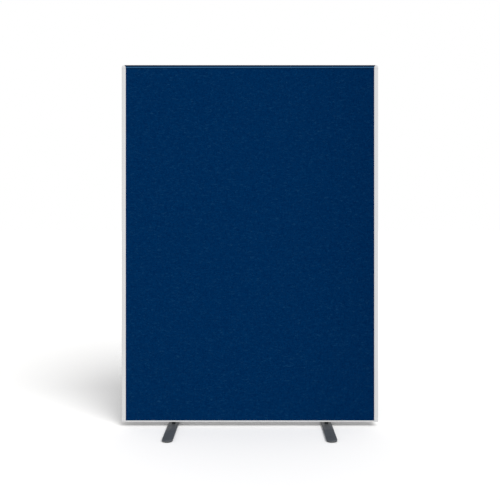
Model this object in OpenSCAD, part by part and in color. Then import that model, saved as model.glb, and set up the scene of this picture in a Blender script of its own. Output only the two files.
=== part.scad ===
// Free-standing acoustic divider screen: a cloth-covered panel on two flat feet that swivel.
// X runs across the screen, Y from its front (-) to its back (+) and Z up from the floor.
// The origin is on the floor, under the middle of the panel.

/* [Screen] */
// Width over the side trims
screen_w = 1000; // [800:10:1600]
// Height above the floor
screen_h = 1410; // [1000:1:1800]

/* [Timber frame] */
// Thickness of the stiles and rails, front to back
timber_t = 26; // [24:1:40]
// Width of the stiles and rails, seen from the front
timber_w = 45; // [42:1:70]
// Diameter of a dowel
dowel_d = 8; // [6:1:10]
// Length of a dowel, half of it in each timber
dowel_len = 60; // [40:2:64]
// Distance between the two dowels of a joint
dowel_pitch = 24; // [20:1:28]

/* [Faces] */
// Thickness of an acoustic face board
board_t = 4; // [3:0.5:9]
// Thickness of the wadding on a board
wadding_t = 1.6; // [1:0.2:5]
// Thickness of the cover cloth
cloth_t = 0.8; // [0.5:0.1:1.5]
// Width of cloth turned in over the edge of the panel
turn_in = 12.4; // [10:0.2:12.6]
// Gap between the infill and the timbers round it
infill_gap = 0.5; // [0.2:0.1:2]

/* [Edge trims] */
// Width of a side trim, seen from the front
side_cover = 15.5; // [13:0.5:25]
// Height of the bottom trim, seen from the front
bottom_cover = 5; // [4:0.5:12]
// Height of the top trim's flat band
band_h = 6.6; // [5:0.2:9]
// Height of the round bead under the band
bead_h = 4.8; // [3:0.2:6]
// Distance of the band's ends from the sides of the screen
mitre_in = 10.5; // [9:0.5:12]
// Thickness of a trim's outer wall
wall_t = 2.4; // [2:0.1:4]
// Thickness of a trim's lips on the cloth
lip_t = 1.6; // [1:0.1:3]
// Radius of the two top corners
top_corner_r = 8.5; // [4:0.5:8.5]
// Radius of the two bottom corners
bottom_corner_r = 3; // [1:0.5:6]

/* [Linking channel] */
// Width of the channel in a side trim
channel_w = 8; // [6:0.5:8.5]
// Depth of the channel
channel_d = 8; // [7:0.5:10]
// Thickness of the channel's walls and floor
channel_t = 2; // [1.8:0.1:2.2]

/* [Feet] */
// Length of a foot blade
foot_len = 400; // [300:10:560]
// Width of a foot blade
foot_w = 40; // [36:1:60]
// Thickness of a foot blade
foot_t = 6; // [5.5:0.5:10]
// Radius of a blade's corners
foot_corner_r = 18; // [6:1:18]
// Distance of a foot's bolt from the side of the screen
foot_inset = 200; // [150:5:240]
// Height of the spacer between a blade and the panel
spacer_h = 11; // [5:1:30]
// Diameter of the spacer
spacer_d = 15; // [14:1:18]
// Thickness of a rubber pad
pad_t = 2; // [1.5:0.5:5]
// Diameter of a rubber pad
pad_d = 30; // [20:1:34]

/* [Foot bolts] */
// Diameter of a foot bolt
bolt_d = 8; // [6:1:8]
// Diameter of the bolt's head
bolt_head_d = 13; // [12:0.5:14]
// Height of the bolt's head
bolt_head_h = 3.8; // [3:0.1:4]
// Width of the head's hexagon socket across its corners
socket_d = 5.8; // [4:0.1:7]
// Depth of the socket
socket_h = 2.4; // [1.5:0.1:2.6]
// Diameter of a threaded insert
insert_d = 12; // [11:0.5:14]
// Length of a threaded insert
insert_len = 20; // [16:1:30]
// Diameter of an insert's flange, and of the bush under it
flange_d = 20; // [18:1:22]
// Thickness of an insert's flange
flange_t = 1.5; // [1:0.1:3]

/* [Screws and staples] */
// Diameter of a screw's shank
screw_d = 3.5; // [3:0.5:4]
// Diameter of a screw's countersunk head
screw_head_d = 6.6; // [6:0.2:7]
// Length of a screw in a face board
board_screw_len = 15; // [12:1:15]
// Length of a screw in a trim
trim_screw_len = 20; // [16:1:22]
// Length of a staple's crown
staple_w = 12; // [8:1:14]
// Length of a staple's legs
staple_leg = 8; // [6:1:10]
// Thickness of the staple wire
staple_t = 0.6; // [0.4:0.1:0.9]
// Width of the staple wire
staple_wire_w = 1.2; // [0.8:0.1:1.6]
// Distance between two staples in a row
staple_pitch = 150; // [100:10:200]

/* [Hidden] */
$fn = 48;

// Running gap between a bolt and what turns on it, measured on the radius
running_gap = 0.05;
// Gap round a fastener in its hole, measured on the radius
hole_gap = 0.05;
// Gap round a piece that slips into another
slip_gap = 0.3;
// Gap between a corner piece and the cloth
corner_gap = 0.1;
// Overrun of every cut
cut = 1;
// Thickness of the top trim's tongue and the depth to which it goes into the top rail
tongue_t = 2.8;
tongue_h = 9;
// Length of the corner pieces' spigots
spigot_len = 12;
// Spare depth at the end of a bolt or dowel
end_gap = 0.6;
// Distance of the pads from the ends of a blade
pad_inset = 9;

// Heights of the board screws in a stile, as shares of the frame's height
stile_screw_shares = [0.12, 0.27, 0.4, 0.6, 0.73, 0.88];
// Places of the board screws along a rail, as shares of half the bay
rail_screw_shares = [-0.49, 0, 0.49];
// Heights of the screws in a side trim, as shares of the frame's height
side_trim_screw_shares = [0.05, 0.2, 0.5, 0.8, 0.95];
// Places of the screws in the bottom trim, as shares of half the screen's width
bottom_trim_screw_shares = [-0.8, -0.33, 0.33, 0.8];

half_w = screen_w / 2;
base_h = pad_t + foot_t + spacer_h;
bush_h = wall_t + staple_t + cloth_t;
core_x = half_w - bush_h;
core_z0 = base_h + bush_h;
core_z1 = screen_h - bush_h;
core_h = core_z1 - core_z0;
mid_z = (core_z0 + core_z1) / 2;
board_y = timber_t / 2 + board_t;
wadding_y = board_y + wadding_t;
cloth_y = wadding_y + cloth_t;
depth = 2 * (cloth_y + lip_t);
bay_x = core_x - timber_w;
bay_h = (core_h - 3 * timber_w) / 2;
rail_z = [core_z0 + timber_w / 2, mid_z, core_z1 - timber_w / 2];
stile_x = core_x - timber_w / 2;
channel_x = half_w - channel_d;
bolt_x = half_w - foot_inset;
bore_r = bolt_d / 2 + running_gap;
head_seat_z = pad_t + bolt_head_h + slip_gap;
screw_head_h = (screw_head_d - screw_d) / 2;
turned_y = cloth_y - turn_in;
staple_y = (turned_y + timber_t / 2) / 2;
staple_margin = side_cover + staple_w;
pad_y = foot_len / 2 - pad_inset - pad_d / 2;
tongue_x = bay_x - dowel_len / 2 - 3 * end_gap;
tongue_z = screen_h - wall_t - tongue_h;

// Repeats

module both_sides() {
    children();
    mirror([1, 0, 0]) children();
}

module both_faces() {
    children();
    mirror([0, 1, 0]) children();
}

// A box centred on X, between two Y and two Z values
module slab(width, y0, y1, z0, z1) {
    translate([-width / 2, y0, z0]) cube([width, y1 - y0, z1 - z0]);
}

// Fasteners, each with its head's face at the origin and its shank up +Z

module screw(length) {
    cylinder(d1 = screw_head_d, d2 = screw_d, h = screw_head_h);
    cylinder(d = screw_d, h = length);
}

module screw_hole(length) {
    grow = 2 * hole_gap;
    translate([0, 0, -cut]) cylinder(d = screw_head_d + grow, h = cut);
    cylinder(d1 = screw_head_d + grow, d2 = screw_d + grow, h = screw_head_h);
    cylinder(d = screw_d + grow, h = length + end_gap);
}

// The crown lies on the plane Z = 0 and runs along X
module staple() {
    translate([-staple_w / 2, -staple_wire_w / 2, 0])
        cube([staple_w, staple_wire_w, staple_t]);
    both_sides() translate([staple_w / 2 - staple_t, -staple_wire_w / 2, -staple_leg])
        cube([staple_t, staple_wire_w, staple_leg]);
}

module staple_holes() {
    grow = 2 * hole_gap;
    both_sides()
        translate([staple_w / 2 - staple_t - hole_gap, -(staple_wire_w + grow) / 2, -staple_leg - hole_gap])
            cube([staple_t + grow, staple_wire_w + grow, staple_leg + hole_gap + cut]);
}

// Staples along an edge of this length, in a row on the front half of the panel
module staple_row(length) {
    count = floor((length - 2 * staple_margin) / staple_pitch) + 1;
    for (i = [0:count - 1])
        translate([(i - (count - 1) / 2) * staple_pitch, -staple_y, 0]) children();
}

module right_edge_staples() {
    translate([core_x + cloth_t, 0, mid_z]) rotate([0, 90, 0]) staple_row(core_h) children();
}

module top_edge_staples() {
    translate([0, 0, core_z1 + cloth_t]) staple_row(2 * bay_x) children();
}

// These stand half a pitch from the foot bolts
module bottom_edge_staples() {
    first_x = (bolt_x + staple_pitch / 2) % staple_pitch;
    translate([0, 0, core_z0 - cloth_t]) mirror([0, 0, 1]) both_sides()
        for (x = [first_x:staple_pitch:bay_x - staple_margin])
            if (x > staple_w) translate([x, -staple_y, 0]) children();
}

module front_staples() {
    both_sides() right_edge_staples() children();
    top_edge_staples() children();
    bottom_edge_staples() children();
}

// Places of the board screws on the front face
module right_stile_screws() {
    for (share = stile_screw_shares)
        translate([stile_x, -board_y, core_z0 + share * core_h]) rotate([-90, 0, 0]) children();
}

module rail_screws(z) {
    for (share = rail_screw_shares)
        translate([share * bay_x, -board_y, z]) rotate([-90, 0, 0]) children();
}

module front_board_screws() {
    both_sides() right_stile_screws() children();
    for (z = rail_z) rail_screws(z) children();
}

module right_trim_screws() {
    for (share = side_trim_screw_shares)
        translate([channel_x, 0, core_z0 + share * core_h]) rotate([0, -90, 0]) children();
}

module bottom_trim_screws() {
    for (share = bottom_trim_screw_shares)
        translate([share * half_w, 0, base_h]) children();
}

// The two dowels at a rail's right end
module dowel_pair(z, diameter, length) {
    for (side = [-1, 1])
        translate([bay_x - length / 2, 0, z + side * dowel_pitch / 2])
            rotate([0, 90, 0]) cylinder(d = diameter, h = length);
}

module dowel_holes(z) {
    dowel_pair(z, dowel_d + 2 * hole_gap, dowel_len + 2 * end_gap);
}

// Timber frame

module right_side_stile() {
    groove_w = channel_w + 2 * channel_t + 2 * slip_gap;
    groove_x = channel_x - channel_t - slip_gap;
    difference() {
        translate([bay_x, -timber_t / 2, core_z0]) cube([timber_w, timber_t, core_h]);
        translate([groove_x, -groove_w / 2, core_z0 - cut])
            cube([core_x - groove_x + cut, groove_w, core_h + 2 * cut]);
        for (z = rail_z) dowel_holes(z);
        right_trim_screws() screw_hole(trim_screw_len);
        both_faces() right_stile_screws() screw_hole(board_screw_len);
        both_faces() right_edge_staples() staple_holes();
    }
}

module rail_blank(z) {
    difference() {
        slab(2 * bay_x, -timber_t / 2, timber_t / 2, z - timber_w / 2, z + timber_w / 2);
        both_sides() dowel_holes(z);
        both_faces() rail_screws(z) screw_hole(board_screw_len);
    }
}

module left_stile() {
    color("burlywood") mirror([1, 0, 0]) right_side_stile();
}

module right_stile() {
    color("burlywood") right_side_stile();
}

module top_rail() {
    color("burlywood") difference() {
        rail_blank(rail_z[2]);
        slab(2 * (tongue_x + end_gap), -tongue_t / 2 - hole_gap, tongue_t / 2 + hole_gap,
            tongue_z - end_gap, core_z1 + cut);
        both_faces() top_edge_staples() staple_holes();
    }
}

module middle_rail() {
    color("burlywood") rail_blank(rail_z[1]);
}

module bottom_rail() {
    color("burlywood") difference() {
        rail_blank(rail_z[0]);
        both_sides() translate([bolt_x, 0, core_z0]) {
            translate([0, 0, -cut]) cylinder(d = flange_d + 2 * hole_gap, h = flange_t + cut);
            cylinder(d = insert_d + 2 * hole_gap, h = insert_len + end_gap);
        }
        bottom_trim_screws() screw_hole(trim_screw_len);
        both_faces() bottom_edge_staples() staple_holes();
    }
}

module frame_dowels() {
    color("tan") both_sides() for (z = rail_z) dowel_pair(z, dowel_d, dowel_len);
}

// Infill in a bay whose middle is at this height
module infill(z) {
    slab(2 * (bay_x - infill_gap), -timber_t / 2, timber_t / 2,
        z - bay_h / 2 + infill_gap, z + bay_h / 2 - infill_gap);
}

module upper_infill() {
    color("khaki") infill((rail_z[1] + rail_z[2]) / 2);
}

module lower_infill() {
    color("khaki") infill((rail_z[0] + rail_z[1]) / 2);
}

// Faces

module face_board() {
    difference() {
        slab(2 * core_x, -board_y, -timber_t / 2, core_z0, core_z1);
        front_board_screws() screw_hole(board_screw_len);
    }
}

module front_board() {
    color("peru") face_board();
}

module back_board() {
    color("peru") mirror([0, 1, 0]) face_board();
}

module board_screws() {
    color("gainsboro") both_faces() front_board_screws() screw(board_screw_len);
}

module face_wadding() {
    slab(2 * core_x, -wadding_y, -board_y, core_z0, core_z1);
}

module front_wadding() {
    color("whitesmoke") face_wadding();
}

module back_wadding() {
    color("whitesmoke") mirror([0, 1, 0]) face_wadding();
}

// A taut sheet whose four edges turn in over the edges of the panel
module face_cover() {
    difference() {
        slab(2 * (core_x + cloth_t), -cloth_y, -turned_y, core_z0 - cloth_t, core_z1 + cloth_t);
        slab(2 * core_x, -wadding_y, -turned_y + cut, core_z0, core_z1);
        both_sides() translate([bolt_x, 0, core_z0 - cloth_t - cut])
            cylinder(d = flange_d + 2 * slip_gap, h = cloth_t + cut);
        front_staples() staple_holes();
    }
}

module front_cover() {
    color("#012955") face_cover();
}

module back_cover() {
    color("#012955") mirror([0, 1, 0]) face_cover();
}

module cover_staples() {
    color("silver") both_faces() front_staples() staple();
}

// Edge trims

// Front view of the top trim, drawn down from the top of the screen
module top_trim_outline() {
    inner_x = half_w - side_cover;
    polygon([
        [-(half_w - mitre_in), 0],
        [half_w - mitre_in, 0],
        [inner_x, -band_h],
        [inner_x, -band_h - bead_h],
        [-inner_x, -band_h - bead_h],
        [-inner_x, -band_h]
    ]);
}

// End view of the top trim without its tongue, with its top edge on Y = 0
module top_trim_profile() {
    lip_h = band_h + bead_h;
    translate([-depth / 2, -wall_t]) square([depth, wall_t]);
    for (side = [-1, 1]) {
        translate([side * (cloth_y + lip_t / 2) - lip_t / 2, -lip_h]) square([lip_t, lip_h]);
        intersection() {
            translate([side * cloth_y, -band_h - bead_h / 2]) circle(d = bead_h);
            translate([side * (cloth_y + bead_h / 2) - bead_h / 2, -lip_h]) square([bead_h, lip_h]);
        }
    }
}

module top_trim() {
    color("#03253f") {
        intersection() {
            translate([-half_w, 0, screen_h]) rotate([90, 0, 90])
                linear_extrude(screen_w) top_trim_profile();
            translate([0, 0, screen_h]) rotate([90, 0, 0])
                linear_extrude(depth + 2 * bead_h, center = true) top_trim_outline();
        }
        slab(2 * tongue_x, -tongue_t / 2, tongue_t / 2, tongue_z, screen_h - wall_t);
    }
}

module bottom_trim() {
    length = 2 * (half_w - side_cover);
    color("#d9d9db") difference() {
        slab(length, -depth / 2, depth / 2, base_h, base_h + bottom_cover);
        slab(length + 2 * cut, -cloth_y, cloth_y, base_h + wall_t, base_h + bottom_cover + cut);
        both_sides() translate([bolt_x, 0, base_h - cut])
            cylinder(d = flange_d + 2 * slip_gap, h = wall_t + 2 * cut);
        bottom_trim_screws() screw_hole(trim_screw_len);
    }
}

// End view of the right side trim
module side_trim_profile() {
    inner_y = channel_w / 2;
    difference() {
        translate([half_w - side_cover, -depth / 2]) square([side_cover, depth]);
        translate([half_w - side_cover - cut, -cloth_y])
            square([side_cover - wall_t + cut, 2 * cloth_y]);
    }
    for (side = [-1, 1])
        translate([channel_x - channel_t, side * (inner_y + channel_t / 2) - channel_t / 2])
            square([channel_d + channel_t, channel_t]);
    translate([channel_x - channel_t, -inner_y - channel_t])
        square([channel_t, channel_w + 2 * channel_t]);
}

module right_side_trim() {
    difference() {
        translate([0, 0, base_h + side_cover])
            linear_extrude(screen_h - base_h - 2 * side_cover) side_trim_profile();
        translate([channel_x, -channel_w / 2, base_h])
            cube([channel_d + cut, channel_w, screen_h - base_h]);
        right_trim_screws() screw_hole(trim_screw_len);
    }
}

module left_trim() {
    color("#d9d9db") mirror([1, 0, 0]) right_side_trim();
}

module right_trim() {
    color("#d9d9db") right_side_trim();
}

module trim_screws() {
    color("gainsboro") {
        both_sides() right_trim_screws() screw(trim_screw_len);
        bottom_trim_screws() screw(trim_screw_len);
    }
}

// A square with one rounded corner, at the end of its diagonal
module corner_square(size, radius) {
    square([size - radius, size]);
    square([size, size - radius]);
    intersection() {
        translate([size - radius, size - radius]) circle(r = radius);
        square(size);
    }
}

// The right side's corner shell, with its outer corner at the top. Its edge is at this height,
// and it hides the trim's end and plugs the channel with a spigot.
module corner_shell(radius, edge_z) {
    spigot = channel_w - 2 * slip_gap;
    pocket_x = core_x + cloth_t + corner_gap;
    difference() {
        translate([half_w - side_cover, 0, edge_z - side_cover]) rotate([90, 0, 0])
            linear_extrude(depth, center = true) corner_square(side_cover, radius);
        translate([0, -cloth_y, edge_z - side_cover - cut])
            cube([pocket_x, 2 * cloth_y, side_cover + cut - (half_w - pocket_x)]);
    }
    translate([channel_x + slip_gap, -spigot / 2, edge_z - side_cover - spigot_len])
        cube([channel_d - 2 * slip_gap, spigot, spigot_len + slip_gap]);
}

module right_top_corner() {
    difference() {
        corner_shell(top_corner_r, screen_h);
        translate([0, 0, screen_h]) rotate([90, 0, 0])
            linear_extrude(depth + 2 * bead_h, center = true) top_trim_outline();
    }
}

module right_bottom_corner() {
    translate([0, 0, base_h]) mirror([0, 0, 1]) corner_shell(bottom_corner_r, 0);
}

module top_left_corner() {
    color("#dadadc") mirror([1, 0, 0]) right_top_corner();
}

module top_right_corner() {
    color("#dadadc") right_top_corner();
}

module bottom_left_corner() {
    color("#dadadc") mirror([1, 0, 0]) right_bottom_corner();
}

module bottom_right_corner() {
    color("#dadadc") right_bottom_corner();
}

// Feet, each drawn about its bolt's axis with the floor at Z = 0

module insert_shape() {
    translate([0, 0, core_z0]) difference() {
        union() {
            cylinder(d = insert_d, h = insert_len);
            cylinder(d = flange_d, h = flange_t);
        }
        translate([0, 0, -cut]) cylinder(r = bore_r, h = insert_len + 2 * cut);
    }
}

module bush_shape() {
    translate([0, 0, base_h]) difference() {
        cylinder(d = flange_d, h = bush_h);
        translate([0, 0, -cut]) cylinder(r = bore_r, h = bush_h + 2 * cut);
    }
}

module bolt_shape() {
    translate([0, 0, head_seat_z]) difference() {
        union() {
            translate([0, 0, -bolt_head_h]) cylinder(d = bolt_head_d, h = bolt_head_h);
            cylinder(d = bolt_d, h = core_z0 + insert_len - end_gap - head_seat_z);
        }
        translate([0, 0, -bolt_head_h - cut]) cylinder(d = socket_d, h = socket_h + cut, $fn = 6);
    }
}

module spacer_shape() {
    translate([0, 0, pad_t + foot_t]) difference() {
        cylinder(d = spacer_d, h = spacer_h);
        translate([0, 0, -cut]) cylinder(r = bore_r, h = spacer_h + 2 * cut);
    }
}

module blade_outline() {
    corner_x = foot_w / 2 - foot_corner_r;
    corner_y = foot_len / 2 - foot_corner_r;
    square([foot_w, 2 * corner_y], center = true);
    square([2 * corner_x, foot_len], center = true);
    for (x = [-corner_x, corner_x], y = [-corner_y, corner_y])
        translate([x, y]) circle(r = foot_corner_r);
}

module blade_shape() {
    translate([0, 0, pad_t]) difference() {
        linear_extrude(foot_t) blade_outline();
        translate([0, 0, -cut]) cylinder(r = bore_r, h = foot_t + 2 * cut);
        translate([0, 0, -cut])
            cylinder(d = bolt_head_d + 2 * slip_gap, h = head_seat_z - pad_t + cut);
    }
}

module pads_shape() {
    for (y = [-pad_y, pad_y]) translate([0, y, 0]) cylinder(d = pad_d, h = pad_t);
}

module at_left_bolt() {
    translate([-bolt_x, 0, 0]) children();
}

module at_right_bolt() {
    translate([bolt_x, 0, 0]) children();
}

module left_insert() {
    color("goldenrod") at_left_bolt() insert_shape();
}

module right_insert() {
    color("goldenrod") at_right_bolt() insert_shape();
}

module left_bush() {
    color("ivory") at_left_bolt() bush_shape();
}

module right_bush() {
    color("ivory") at_right_bolt() bush_shape();
}

module left_bolt() {
    color("slategray") at_left_bolt() bolt_shape();
}

module right_bolt() {
    color("slategray") at_right_bolt() bolt_shape();
}

module left_spacer() {
    color("#333436") at_left_bolt() spacer_shape();
}

module right_spacer() {
    color("#333436") at_right_bolt() spacer_shape();
}

module left_blade() {
    color("#4d5053") at_left_bolt() blade_shape();
}

module right_blade() {
    color("#4d5053") at_right_bolt() blade_shape();
}

module left_pads() {
    color("#202020") at_left_bolt() pads_shape();
}

module right_pads() {
    color("#202020") at_right_bolt() pads_shape();
}

left_stile();
right_stile();
top_rail();
middle_rail();
bottom_rail();
frame_dowels();
upper_infill();
lower_infill();
front_board();
back_board();
board_screws();
front_wadding();
back_wadding();
front_cover();
back_cover();
cover_staples();
top_trim();
bottom_trim();
left_trim();
right_trim();
trim_screws();
top_left_corner();
top_right_corner();
bottom_left_corner();
bottom_right_corner();
left_insert();
right_insert();
left_bush();
right_bush();
left_bolt();
right_bolt();
left_spacer();
right_spacer();
left_blade();
right_blade();
left_pads();
right_pads();
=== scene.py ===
# Free-standing acoustic divider screen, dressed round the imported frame.
# Sizes are metres. X runs across the screen, -Y is its front and Z is up.
import math

import bmesh
import bpy
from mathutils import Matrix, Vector, noise


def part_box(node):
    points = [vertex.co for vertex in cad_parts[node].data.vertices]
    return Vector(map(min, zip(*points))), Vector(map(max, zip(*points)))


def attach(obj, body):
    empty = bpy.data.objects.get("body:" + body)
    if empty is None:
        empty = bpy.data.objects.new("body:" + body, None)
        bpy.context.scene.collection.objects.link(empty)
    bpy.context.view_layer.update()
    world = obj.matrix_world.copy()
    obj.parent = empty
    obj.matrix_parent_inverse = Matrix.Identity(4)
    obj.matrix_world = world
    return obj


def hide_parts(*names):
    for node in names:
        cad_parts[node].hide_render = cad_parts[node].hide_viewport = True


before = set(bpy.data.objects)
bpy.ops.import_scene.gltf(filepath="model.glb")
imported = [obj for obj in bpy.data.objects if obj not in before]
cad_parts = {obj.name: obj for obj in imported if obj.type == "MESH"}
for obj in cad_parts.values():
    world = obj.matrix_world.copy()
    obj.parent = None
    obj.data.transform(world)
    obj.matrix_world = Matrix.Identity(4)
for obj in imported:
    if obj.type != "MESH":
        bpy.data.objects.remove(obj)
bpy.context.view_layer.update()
print("frame loaded")

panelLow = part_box("left_trim")[0].copy()
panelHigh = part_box("right_trim")[1].copy()
panelLow.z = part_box("bottom_trim")[0].z
panelHigh.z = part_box("top_trim")[1].z

meshLimits = {
    "same": 0.00005,  # two places closer than this are the same place
    "merge": 0.00001,  # two corners closer than this become one
    "flat": math.radians(0.4),  # faces that turn less than this become one
    "sharp": math.radians(30),  # an edge has to turn more than this to be eased
}


def addObject(name, data):
    added = bpy.data.objects.new(name, data)
    bpy.context.scene.collection.objects.link(added)
    return added


def addMesh(name, bm, material):
    mesh = bpy.data.meshes.new(name)
    bm.to_mesh(mesh)
    bm.free()
    mesh.materials.append(material)
    return addObject(name, mesh)


# Camera and lamps

cameraView = {
    "distance": 2.49,  # from the panel's front, which the picture plane is parallel to
    "height": 0.8066,  # above the panel's bottom edge
    "aside": 0.0187,  # to the right of the panel's middle
    "lens": 45.985,
    "sensor": 36,
    "shift": (-0.0095, -0.07),
}


def addCamera():
    lens = bpy.data.cameras.new("camera")
    lens.lens = cameraView["lens"]
    lens.sensor_width = cameraView["sensor"]
    lens.shift_x, lens.shift_y = cameraView["shift"]
    camera = addObject("camera", lens)
    camera.location.x = cameraView["aside"]
    camera.location.y = panelLow.y - cameraView["distance"]
    camera.location.z = panelLow.z + cameraView["height"]
    camera.rotation_euler = (math.radians(90), 0, 0)
    bpy.context.scene.camera = camera


lampPlans = {
    # a wide sun from the upper right for the soft shadow on the left, and a weak lamp against it
    "key": {"kind": "SUN", "from": (2.16, -3.66, 4.24), "to": (0, 0, 0),
            "settings": {"energy": 2.3, "angle": math.radians(40)}},
    "fill": {"kind": "AREA", "from": (-1.9, -2.3, 0.9), "to": (-0.1, 0.0, 0.7),
             "settings": {"energy": 6.0, "shape": "DISK", "size": 1.6}},
}


def addLamps():
    for name, plan in lampPlans.items():
        light = bpy.data.lights.new(name, plan["kind"])
        for setting, value in plan["settings"].items():
            setattr(light, setting, value)
        lamp = addObject(name, light)
        lamp.location = plan["from"]
        aim = Vector(plan["to"]) - Vector(plan["from"])
        lamp.rotation_euler = aim.to_track_quat("-Z", "Y").to_euler()
        lamp.visible_camera = False


# Nodes of a material. An input is a value or another node's socket.

def addNode(tree, kind, inputs=None, **settings):
    node = tree.nodes.new("ShaderNode" + kind)
    for key, value in settings.items():
        setattr(node, key, value)
    for socket, value in (inputs or {}).items():
        if isinstance(value, bpy.types.NodeSocket):
            tree.links.new(value, node.inputs[socket])
        else:
            node.inputs[socket].default_value = value
    return node


def addMath(tree, operation, first, second):
    return addNode(tree, "Math", {0: first, 1: second}, operation=operation).outputs[0]


def colour(value):
    return (*value, 1.0)


# Surroundings: white to the camera, in reflections and through glass, dimmer as a source of light

def showsWhite(tree):
    rays = addNode(tree, "LightPath").outputs
    mirrored = addMath(tree, "MAXIMUM", rays["Is Camera Ray"], rays["Is Glossy Ray"])
    return addMath(tree, "MAXIMUM", mirrored, rays["Is Transmission Ray"])


skyPlan = {"light": 0.57, "seen": 1.0}


def addWorld():
    world = bpy.data.worlds.new("studio")
    world.use_nodes = True
    tree = world.node_tree
    sky = tree.nodes["Background"]
    sky.inputs["Color"].default_value = (1, 1, 1, 1)
    strength = addNode(tree, "MapRange", {
        "Value": showsWhite(tree), "To Min": skyPlan["light"], "To Max": skyPlan["seen"]})
    tree.links.new(strength.outputs[0], sky.inputs["Strength"])
    bpy.context.scene.world = world


floorPlan = {
    "size": 60.0,
    "light": (0.4, 0.4, 0.4),  # its colour for the light that it throws back
    "seen": (1.0, 0.997, 0.992),  # a touch warm, against the blue that the cloth throws on it
}


def addFloor():
    material = bpy.data.materials.new("floor")
    material.use_nodes = True
    tree = material.node_tree
    tree.nodes.clear()
    plain = addNode(tree, "BsdfDiffuse", {"Color": colour(floorPlan["light"])})
    seen = addNode(tree, "BsdfDiffuse", {"Color": colour(floorPlan["seen"])})
    chosen = addNode(tree, "MixShader", {0: showsWhite(tree), 1: plain.outputs[0], 2: seen.outputs[0]})
    addNode(tree, "OutputMaterial", {"Surface": chosen.outputs[0]})
    bm = bmesh.new()
    bmesh.ops.create_grid(bm, x_segments=1, y_segments=1, size=floorPlan["size"] / 2)
    addMesh("floor", bm, material)


bpy.context.scene.view_settings.view_transform = "Standard"
addCamera()
addLamps()
addWorld()
addFloor()
print("camera, lamps and floor made")


# Materials

def newMaterial(name, **values):
    material = bpy.data.materials.new(name)
    material.use_nodes = True
    shader = material.node_tree.nodes["Principled BSDF"]
    for socket, value in values.items():
        shader.inputs[socket.replace("_", " ")].default_value = value
    return material, material.node_tree, shader


def objectPlace(tree, stretch=(1, 1, 1)):
    place = addNode(tree, "TexCoord").outputs["Object"]
    return addNode(tree, "Mapping", {"Vector": place, "Scale": stretch}).outputs[0]


def placeAlong(tree, axis):
    return addNode(tree, "SeparateXYZ", {0: objectPlace(tree)}).outputs[axis]


def addNoise(tree, place, scale, detail=2.0, roughness=0.5, bend=0.0):
    return addNode(tree, "TexNoise", {
        "Vector": place, "Scale": scale, "Detail": detail, "Roughness": roughness,
        "Distortion": bend}).outputs[0]


def addRange(tree, value, low, high, fromLow=0.3, fromHigh=0.7):
    return addNode(tree, "MapRange", {
        "Value": value, "From Min": fromLow, "From Max": fromHigh, "To Min": low, "To Max": high}).outputs[0]


def addBlend(tree, factor, first, second, mode="MIX"):
    node = addNode(tree, "Mix", {0: factor, 6: first, 7: second}, data_type="RGBA", blend_type=mode)
    return node.outputs[2]


def addBump(tree, shader, height, strength, depth):
    bump = addNode(tree, "Bump", {"Height": height, "Strength": strength, "Distance": depth})
    tree.links.new(bump.outputs[0], shader.inputs["Normal"])


def setFinish(tree, shader, base, roughness=None):
    tree.links.new(base, shader.inputs["Base Color"])
    if roughness:
        tree.links.new(roughness, shader.inputs["Roughness"])


grainPlans = {
    # two colours, the stretch and scale of their grain, roughness from and to, bump scale, strength and depth
    "timber": {"colours": ((0.66, 0.45, 0.26), (0.50, 0.31, 0.16)), "stretch": (9, 9, 1), "scale": 22,
               "rough": (0.55, 0.75), "bump": (160, 0.35, 0.0004)},
    "dowel": {"colours": ((0.60, 0.40, 0.23), (0.48, 0.30, 0.16)), "stretch": (1, 8, 8), "scale": 60,
              "rough": (0.5, 0.7), "bump": (300, 0.3, 0.0003)},
    "infill": {"colours": ((0.56, 0.47, 0.22), (0.40, 0.32, 0.14)), "stretch": (1, 4, 4), "scale": 90,
               "rough": (0.85, 1.0), "bump": (420, 0.9, 0.0015)},
    "board": {"colours": ((0.31, 0.18, 0.09), (0.23, 0.13, 0.06)), "stretch": (1, 1, 1), "scale": 140,
              "rough": (0.45, 0.65), "bump": (700, 0.3, 0.0003)},
    "wadding": {"colours": ((0.80, 0.80, 0.79), (0.68, 0.68, 0.66)), "stretch": (1, 1, 1), "scale": 70,
                "rough": (0.9, 1.0), "bump": (260, 0.8, 0.0012)},
    "rubber": {"colours": ((0.016, 0.016, 0.017), (0.028, 0.028, 0.028)), "stretch": (1, 1, 1), "scale": 120,
               "rough": (0.6, 0.85), "bump": (900, 0.35, 0.0002)},
    "nylon": {"colours": ((0.76, 0.74, 0.68), (0.70, 0.67, 0.60)), "stretch": (1, 1, 1), "scale": 90,
              "rough": (0.3, 0.45), "bump": (600, 0.15, 0.0001)},
}


def grainMaterial(name):
    plan = grainPlans[name]
    material, tree, shader = newMaterial(name, Specular_IOR_Level=0.3)
    place = objectPlace(tree, plan["stretch"])
    grain = addNoise(tree, place, plan["scale"], detail=4.0, roughness=0.6)
    first, second = plan["colours"]
    mixed = addBlend(tree, addRange(tree, grain, 0, 1), colour(first), colour(second))
    setFinish(tree, shader, mixed, addRange(tree, grain, *plan["rough"]))
    scale, strength, depth = plan["bump"]
    addBump(tree, shader, addNoise(tree, place, scale, detail=3.0), strength, depth)
    return material


metalPlans = {
    # colour, roughness from and to, and the stretch that turns noise into turning or drawing marks
    "zincScrew": {"colour": (0.60, 0.60, 0.62), "rough": (0.28, 0.45), "stretch": (1, 1, 14)},
    "stapleWire": {"colour": (0.62, 0.61, 0.58), "rough": (0.25, 0.4), "stretch": (1, 9, 1)},
    "brassInsert": {"colour": (0.68, 0.46, 0.16), "rough": (0.25, 0.42), "stretch": (1, 1, 18)},
    "boltSteel": {"colour": (0.36, 0.37, 0.39), "rough": (0.3, 0.5), "stretch": (1, 1, 16)},
}
metalMarks = {
    "marks": 240,
    "clouds": 60,
    "darkest": 0.78,  # share of the colour left in the darkest clouds
    "bump": (0.25, 0.0001),
}


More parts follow.
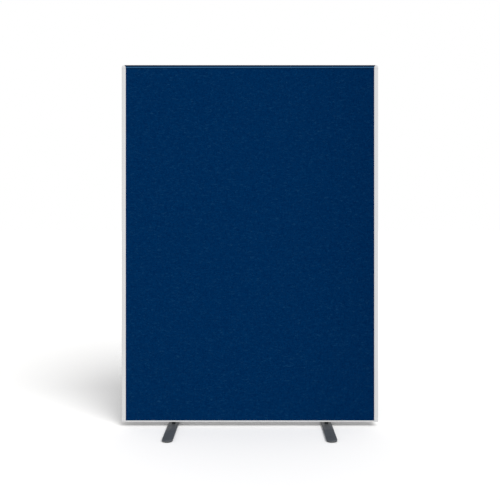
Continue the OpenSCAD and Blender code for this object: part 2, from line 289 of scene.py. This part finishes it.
def metalMaterial(name):
    plan = metalPlans[name]
    material, tree, shader = newMaterial(name, Metallic=1.0)
    marks = addNoise(tree, objectPlace(tree, plan["stretch"]), metalMarks["marks"], detail=3.0)
    clouds = addNoise(tree, objectPlace(tree), metalMarks["clouds"])
    darker = tuple(metalMarks["darkest"] * part for part in plan["colour"])
    mixed = addBlend(tree, addRange(tree, clouds, 0, 1), colour(plan["colour"]), colour(darker))
    setFinish(tree, shader, mixed, addRange(tree, marks, *plan["rough"]))
    addBump(tree, shader, marks, *metalMarks["bump"])
    return material


clothPlan = {
    "thread": 0.0011,  # from one thread to the next
    "waver": 0.4,  # how unevenly the threads run
    "dark": (0.0, 0.0138, 0.0680),
    "light": (0.0003, 0.0322, 0.1165),
    "pale": (0.0072, 0.0490, 0.1330),
    "slub": (36.0, 620.0),  # along and across a thread
    "mottle": 140.0,
    "shares": (0.30, 0.46, 0.10),  # what slubs, mottle and weave each add to the tone
    "tones": (0.41, 0.75),  # the tone that is dark and the one that is light
    "fibre": (80.0, 210.0),  # along and across a pale fibre of the nap
    "fibreBend": 1.0,
    "fibreTones": (0.545, 0.78),  # where a fibre starts to show and where it is pale
    "paintedShadeRight": (0.85, 0.84, 0.86),  # share of the colour left at the right side: painted shade, the cloth made darker there as if less light fell on it
    "paintedShadeFall": 2.0,  # power with which the painted shade gets darker towards that side
    "slubHeight": 0.8,  # as a share of the weave's
    "bump": (0.45, 0.0004),
}
waveTurn = 20  # a wave texture multiplies its place by this


def clothMaterial():
    material, tree, shader = newMaterial("wovenCloth", Roughness=0.95, Specular_IOR_Level=0.0)
    flat = objectPlace(tree, (1, 0, 1))
    wave = {"Vector": flat, "Scale": math.tau / (waveTurn * clothPlan["thread"]),
            "Distortion": clothPlan["waver"], "Detail": 1.0}
    waves = [addNode(tree, "TexWave", wave, bands_direction=way).outputs["Fac"] for way in ("X", "Z")]
    over = addNode(tree, "TexChecker", {"Vector": flat, "Scale": 1 / clothPlan["thread"]}).outputs["Fac"]
    weave = addNode(tree, "Mix", {0: over, 2: waves[0], 3: waves[1]}, data_type="FLOAT").outputs[0]
    along, across = clothPlan["slub"]
    warpSlub = addNoise(tree, objectPlace(tree, (across, 0, along)), 1.0)
    weftSlub = addNoise(tree, objectPlace(tree, (along, 0, across)), 1.0)
    slubs = addMath(tree, "ADD", warpSlub, weftSlub)
    mottle = addNoise(tree, objectPlace(tree), clothPlan["mottle"], detail=4.0, roughness=0.62)
    parts = [addMath(tree, "MULTIPLY", part, share)
             for part, share in zip((slubs, mottle, weave), clothPlan["shares"])]
    tone = addMath(tree, "ADD", addMath(tree, "ADD", parts[0], parts[1]), parts[2])
    dyed = addBlend(tree, addRange(tree, tone, 0, 1, *clothPlan["tones"]),
                    colour(clothPlan["dark"]), colour(clothPlan["light"]))
    along, across = clothPlan["fibre"]
    fibres = addNoise(tree, objectPlace(tree, (along, along, across)), 1.0, detail=3.0, roughness=0.6,
                      bend=clothPlan["fibreBend"])
    shown = addRange(tree, fibres, 0, 1, *clothPlan["fibreTones"])
    mixed = addBlend(tree, shown, dyed, colour(clothPlan["pale"]))
    # painted shade: the cloth's colour gets darker towards its right side, as if less lit there
    toRight = addRange(tree, placeAlong(tree, "X"), 0, 1, 0, panelHigh.x)
    paintedShade = addMath(tree, "POWER", toRight, clothPlan["paintedShadeFall"])
    setFinish(tree, shader, addBlend(tree, paintedShade, mixed, colour(clothPlan["paintedShadeRight"]), "MULTIPLY"))
    height = addMath(tree, "ADD", addMath(tree, "ADD", weave, fibres),
                     addMath(tree, "MULTIPLY", slubs, clothPlan["slubHeight"]))
    addBump(tree, shader, height, *clothPlan["bump"])
    return material


trimPlans = {
    "navyTrim": {"colour": (0.0005, 0.0090, 0.034), "worn": (0.004, 0.020, 0.058),
                 "rough": (0.6, 0.7), "shine": 0.05},
    # a lighter copy of the navy trim for the bead: a painted highlight along the top edge
    "paintedHighlightBead": {"colour": (0.026, 0.108, 0.235), "worn": (0.040, 0.125, 0.260),
                 "rough": (0.5, 0.6), "shine": 0.05},
    "greyTrim": {"colour": (0.69, 0.69, 0.695), "worn": (0.60, 0.595, 0.585),
                 "rough": (0.42, 0.55), "shine": 0.25},
}
trimWear = {
    "lines": (420, 420, 5),  # stretch of the fine lines from the extruder
    "scuffStretch": (1, 1, 0.35),
    "scuff": 90,
    "scuffTones": (0.56, 0.80),  # where the plastic starts to be scuffed and where it is worn
    "heights": (0.02, 0.25),  # the most wear is below the first, the least above the second
    "least": 0.25,
    "most": 0.35,  # share of the worn colour in the worst scuffs
    "bump": (0.12, 0.0001),
}


def trimMaterial(name):
    plan = trimPlans[name]
    material, tree, shader = newMaterial(name, Specular_IOR_Level=plan["shine"])
    drawn = addNoise(tree, objectPlace(tree, trimWear["lines"]), 1.0)
    scuffPlace = objectPlace(tree, trimWear["scuffStretch"])
    scuffs = addNoise(tree, scuffPlace, trimWear["scuff"], detail=5.0, roughness=0.7)
    nearFloor = addRange(tree, placeAlong(tree, "Z"), 1.0, trimWear["least"], *trimWear["heights"])
    wear = addMath(tree, "MULTIPLY", addRange(tree, scuffs, 0, 1, *trimWear["scuffTones"]), nearFloor)
    shown = addMath(tree, "MULTIPLY", wear, trimWear["most"])
    mixed = addBlend(tree, shown, colour(plan["colour"]), colour(plan["worn"]))
    setFinish(tree, shader, mixed, addRange(tree, scuffs, *plan["rough"]))
    addBump(tree, shader, addMath(tree, "ADD", drawn, scuffs), *trimWear["bump"])
    return material


coatPlan = {
    "colour": (0.079, 0.086, 0.092),
    "worn": (0.13, 0.135, 0.14),
    "rough": (0.30, 0.42),
    "shine": 0.4,
    "peel": 700,  # fine orange peel of the coating
    "clouds": 45,
    "darkest": 0.16,  # share of black in the darkest clouds
    "scratch": (260, 12, 60),
    "scratchTones": (0.62, 0.80),
    "worstClouds": (0.45, 0.75),  # clouds in which the scratches show
    "most": 0.5,  # share of the worn colour in the worst scratches
    "bump": (0.3, 0.0002),
}


def coatMaterial(name, brightness=1.0):
    material, tree, shader = newMaterial(name, Specular_IOR_Level=coatPlan["shine"])
    place = objectPlace(tree)
    peel = addNoise(tree, place, coatPlan["peel"])
    clouds = addNoise(tree, place, coatPlan["clouds"], detail=4.0, roughness=0.6)
    scratches = addNoise(tree, objectPlace(tree, coatPlan["scratch"]), 1.0, detail=3.0, roughness=0.7)
    wear = addMath(tree, "MULTIPLY", addRange(tree, scratches, 0, 1, *coatPlan["scratchTones"]),
                   addRange(tree, clouds, 0, 1, *coatPlan["worstClouds"]))
    base = tuple(brightness * part for part in coatPlan["colour"])
    tinted = addBlend(tree, addRange(tree, clouds, 0, coatPlan["darkest"]), colour(base), (0, 0, 0, 1))
    shown = addMath(tree, "MULTIPLY", wear, coatPlan["most"])
    mixed = addBlend(tree, shown, tinted, colour(coatPlan["worn"]))
    setFinish(tree, shader, mixed, addRange(tree, clouds, *coatPlan["rough"]))
    addBump(tree, shader, peel, *coatPlan["bump"])
    return material


finishes = {name: grainMaterial(name) for name in grainPlans}
finishes.update({name: metalMaterial(name) for name in metalPlans})
finishes.update({name: trimMaterial(name) for name in trimPlans})
finishes["cloth"] = clothMaterial()
finishes["blade"] = coatMaterial("bladeCoat")
finishes["spacer"] = coatMaterial("spacerCoat", brightness=0.45)
print("materials made")


# Shared mesh work

def same(first, second):
    return abs(first - second) < meshLimits["same"]


def copyOfNode(name):
    bm = bmesh.new()
    bm.from_mesh(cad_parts[name].data)
    bmesh.ops.remove_doubles(bm, verts=bm.verts, dist=meshLimits["merge"])
    bmesh.ops.dissolve_limit(bm, angle_limit=meshLimits["flat"], verts=bm.verts, edges=bm.edges)
    return bm


def sharpEdges(bm, test=None):
    chosen = []
    for edge in bm.edges:
        if len(edge.link_faces) == 2 and edge.calc_face_angle(0) > meshLimits["sharp"]:
            if test is None or test(*(vert.co for vert in edge.verts)):
                chosen.append(edge)
    return chosen


def softenEdges(bm, edges, width, segments):
    bmesh.ops.bevel(bm, geom=edges, offset=width, segments=segments, profile=0.5, affect="EDGES",
                    clamp_overlap=True, material=-1)


def dress(piece, body, node):
    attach(piece, body)
    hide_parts(node)


def addPiece(name, bm, body, node, material, smoothAngle=40):
    bmesh.ops.recalc_face_normals(bm, faces=bm.faces)
    piece = addMesh(name, bm, material)
    piece.data.shade_smooth()
    piece.data.set_sharp_from_angle(angle=math.radians(smoothAngle))
    dress(piece, body, node)
    return piece


# Cloth covers: each a taut sheet, held by the trims' lips and turned in over the panel's edges

coverPlan = {
    "thickness": 0.0008,
    "step": 0.012,  # size of a facet of the sheet
    "edge": (0.0016, 3),  # radius and segments
    "crown": 0.0005,  # how far the wadding pushes the middle out
    "ripple": 0.00016,
    "rippleSize": 0.11,
    "underLip": 0.013,  # width that the trims' lips hold down
    "heldBack": 0.03,  # distance from there over which the sheet rises
}


def crownAt(x, z, low, high):
    edge = min(x - low.x, high.x - x, z - low.z, high.z - z)
    held = min(1.0, max(0.0, (edge - coverPlan["underLip"]) / coverPlan["heldBack"]))
    held = held * held * (3 - 2 * held)
    ripple = noise.noise(Vector((x, 0, z)) / coverPlan["rippleSize"])
    return held * (coverPlan["crown"] + coverPlan["ripple"] * ripple)


def addCover(name, node, side):
    low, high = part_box(node)
    front = low.y if side < 0 else high.y
    width, depth, height = high.x - low.x, high.y - low.y, high.z - low.z
    bm = bmesh.new()
    bmesh.ops.create_grid(bm, x_segments=round(width / coverPlan["step"]),
                          y_segments=round(height / coverPlan["step"]), size=0.5)
    for vert in bm.verts:
        vert.co = Vector((vert.co.x * width, front, low.z + (vert.co.y + 0.5) * height))
    rim = [edge for edge in bm.edges if edge.is_boundary]
    turned = bmesh.ops.extrude_edge_only(bm, edges=rim)["geom"]
    inner = [part for part in turned if isinstance(part, bmesh.types.BMVert)]
    bmesh.ops.translate(bm, verts=inner, vec=(0, -side * depth, 0))
    bmesh.ops.recalc_face_normals(bm, faces=bm.faces)
    softenEdges(bm, sharpEdges(bm), *coverPlan["edge"])
    for vert in bm.verts:
        if same(vert.co.y, front):
            vert.co.y += side * crownAt(vert.co.x, vert.co.z, low, high)
    outward = sum(face.normal.y * face.calc_area() for face in bm.faces)
    if outward * side < 0:
        bmesh.ops.reverse_faces(bm, faces=bm.faces)
    piece = addMesh(name, bm, finishes["cloth"])
    piece.data.shade_smooth()
    wall = piece.modifiers.new("wall", "SOLIDIFY")
    wall.thickness = coverPlan["thickness"]
    wall.offset = -1  # inwards
    dress(piece, "screen", node)


addCover("frontCloth", "front_cover", -1)
addCover("backCloth", "back_cover", 1)
print("covers made")


# Edge trims and their corner pieces, with their edges eased

trimEdges = {
    # width and segments of each eased edge
    "sideOuter": (0.0012, 4),
    "sideMouth": (0.0006, 2),  # of the linking channel
    "sideLip": (0.0006, 3),
    "levelOuter": (0.0006, 4),
    "levelLip": (0.0003, 2),
    "corner": (0.0007, 3),
}
trimShape = {
    "long": 0.5,  # an edge longer than this runs along its trim
    "lip": 0.01,  # a lip's edge is further in than this
}


def addSideTrim(name, node):
    bm = copyOfNode(node)
    outer, faceY = panelHigh.x, panelHigh.y

    def upright(a, b):
        return same(a.x, b.x) and same(a.y, b.y) and abs(a.z - b.z) > trimShape["long"]

    def onOuter(a, b):
        return upright(a, b) and same(abs(a.x), outer) and same(abs(a.y), faceY)

    def onMouth(a, b):
        return upright(a, b) and same(abs(a.x), outer) and abs(a.y) < faceY / 2

    def onLip(a, b):
        return upright(a, b) and abs(a.x) < outer - trimShape["lip"] and same(abs(a.y), faceY)

    softenEdges(bm, sharpEdges(bm, onOuter), *trimEdges["sideOuter"])
    softenEdges(bm, sharpEdges(bm, onMouth), *trimEdges["sideMouth"])
    softenEdges(bm, sharpEdges(bm, onLip), *trimEdges["sideLip"])
    addPiece(name, bm, "screen", node, finishes["greyTrim"])


def addLevelTrim(name, node, outerZ, finish, paintedHighlightFinish=None):
    bm = copyOfNode(node)
    faceY = panelHigh.y

    def onFace(a, b):
        along = same(a.z, b.z) and same(a.y, b.y) and abs(a.x - b.x) > trimShape["long"]
        return along and same(abs(a.y), faceY)

    def onOuter(a, b):
        return onFace(a, b) and same(a.z, outerZ)

    def onLip(a, b):
        return onFace(a, b) and not same(a.z, outerZ)

    softenEdges(bm, sharpEdges(bm, onOuter), *trimEdges["levelOuter"])
    softenEdges(bm, sharpEdges(bm, onLip), *trimEdges["levelLip"])
    # the bead, which stands out from the band, gets a lighter navy: a painted highlight along the top edge
    if paintedHighlightFinish:
        for face in bm.faces:  # the bead stands out from the band
            face.material_index = int(any(abs(v.co.y) > faceY + meshLimits["same"] for v in face.verts))
    piece = addPiece(name, bm, "screen", node, finish)
    if paintedHighlightFinish:
        piece.data.materials.append(paintedHighlightFinish)


def addCorner(name, node):
    bm = copyOfNode(node)

    def onFace(a, b):
        return same(abs(a.y), panelHigh.y) and same(a.y, b.y)

    softenEdges(bm, sharpEdges(bm, onFace), *trimEdges["corner"])
    addPiece(name, bm, "screen", node, finishes["greyTrim"])


addSideTrim("leftEdging", "left_trim")
addSideTrim("rightEdging", "right_trim")
addLevelTrim("topEdging", "top_trim", panelHigh.z, finishes["navyTrim"], finishes["paintedHighlightBead"])
addLevelTrim("bottomEdging", "bottom_trim", panelLow.z, finishes["greyTrim"])
for level in ("top", "bottom"):
    for side in ("left", "right"):
        addCorner(level + side.capitalize() + "Cap", f"{level}_{side}_corner")
print("edging made")


# Feet

footPlan = {
    "bladeEdge": (0.0011, 3),  # width and segments
    "bladeMiddle": 0.012,  # the bolt's hole is nearer the blade's middle than this, and its rim further
    "boltHole": 0.00405,
    "spacerChamfer": 0.0007,
    "grooves": (0.3, 0.7),  # shares of the spacer's height
    "grooveDepth": 0.0005,
    "grooveWidth": 0.0008,
    "padRound": 0.0006,
    "roundMiddle": 0.3,  # how far in the middle of a round is, as a share of its radius
    "padRings": (0.0045, 0.0085, 0.0120),  # radii of the grooves under a pad
    "padCut": 0.3,  # depth of these grooves, as a share of the pad's height
    "steps": 48,
}


def spinProfile(bm, points, centre, closed):
    verts = [bm.verts.new((centre.x + radius, centre.y, z)) for radius, z in points]
    ends = verts[1:] + verts[:1] if closed else verts[1:]
    edges = [bm.edges.new(pair) for pair in zip(verts, ends)]
    bmesh.ops.spin(bm, geom=verts + edges, cent=centre, axis=(0, 0, 1), dvec=(0, 0, 0),
                   angle=math.tau, steps=footPlan["steps"], use_merge=True, use_duplicate=False)


def addBlade(name, node, body):
    bm = copyOfNode(node)
    low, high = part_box(node)
    middle = (low + high).xy / 2

    def onRim(a, b):
        onFace = same(a.z, b.z) and (same(a.z, high.z) or same(a.z, low.z))
        return onFace and (a.xy - middle).length > footPlan["bladeMiddle"]

    softenEdges(bm, sharpEdges(bm, onRim), *footPlan["bladeEdge"])
    addPiece(name, bm, body, node, finishes["blade"])


def addSpacer(name, node, body):
    low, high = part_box(node)
    radius, hole, chamfer = (high.x - low.x) / 2, footPlan["boltHole"], footPlan["spacerChamfer"]
    inner, half = radius - footPlan["grooveDepth"], footPlan["grooveWidth"] / 2
    points = [(hole, low.z), (radius - chamfer, low.z), (radius, low.z + chamfer)]
    for share in footPlan["grooves"]:
        z = low.z + share * (high.z - low.z)
        points += [(radius, z - half), (inner, z - half / 2), (inner, z + half / 2), (radius, z + half)]
    points += [(radius, high.z - chamfer), (radius - chamfer, high.z), (hole, high.z)]
    bm = bmesh.new()
    spinProfile(bm, points, (low + high) / 2, closed=True)
    addPiece(name, bm, body, node, finishes["spacer"], smoothAngle=25)


def addPads(name, node, body):
    low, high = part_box(node)
    radius, ease = (high.x - low.x) / 2, footPlan["padRound"]
    cut = low.z + footPlan["padCut"] * (high.z - low.z)
    points = [(0, low.z)]
    for ring in footPlan["padRings"]:
        points += [(ring - ease, low.z), (ring - ease / 2, cut), (ring + ease / 2, cut), (ring + ease, low.z)]
    bulge = footPlan["roundMiddle"] * ease
    points += [(radius - ease, low.z), (radius - bulge, low.z + bulge), (radius, low.z + ease)]
    points += [(radius, high.z - ease / 2), (radius - ease / 2, high.z), (0, high.z)]
    bm = bmesh.new()
    for y in (low.y + radius, high.y - radius):
        spinProfile(bm, points, Vector(((low.x + high.x) / 2, y, 0)), closed=False)
    bmesh.ops.remove_doubles(bm, verts=bm.verts, dist=meshLimits["merge"])
    addPiece(name, bm, body, node, finishes["rubber"], smoothAngle=35)


for side in ("left", "right"):
    body = side + "_foot"
    addBlade(side + "Blade", side + "_blade", body)
    addSpacer(side + "Spacer", side + "_spacer", body)
    addPads(side + "Pads", side + "_pads", body)
print("feet made")


# Finishes of the CAD nodes that stay

nodeFinishes = {
    "timber": ["left_stile", "right_stile", "top_rail", "middle_rail", "bottom_rail"],
    "dowel": ["frame_dowels"],
    "infill": ["upper_infill", "lower_infill"],
    "board": ["front_board", "back_board"],
    "wadding": ["front_wadding", "back_wadding"],
    "zincScrew": ["board_screws", "trim_screws"],
    "stapleWire": ["cover_staples"],
    "brassInsert": ["left_insert", "right_insert"],
    "nylon": ["left_bush", "right_bush"],
    "boltSteel": ["left_bolt", "right_bolt"],
}
for finish, nodes in nodeFinishes.items():
    for node in nodes:
        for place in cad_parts[node].material_slots:
            place.material = finishes[finish]
print("finishes set")
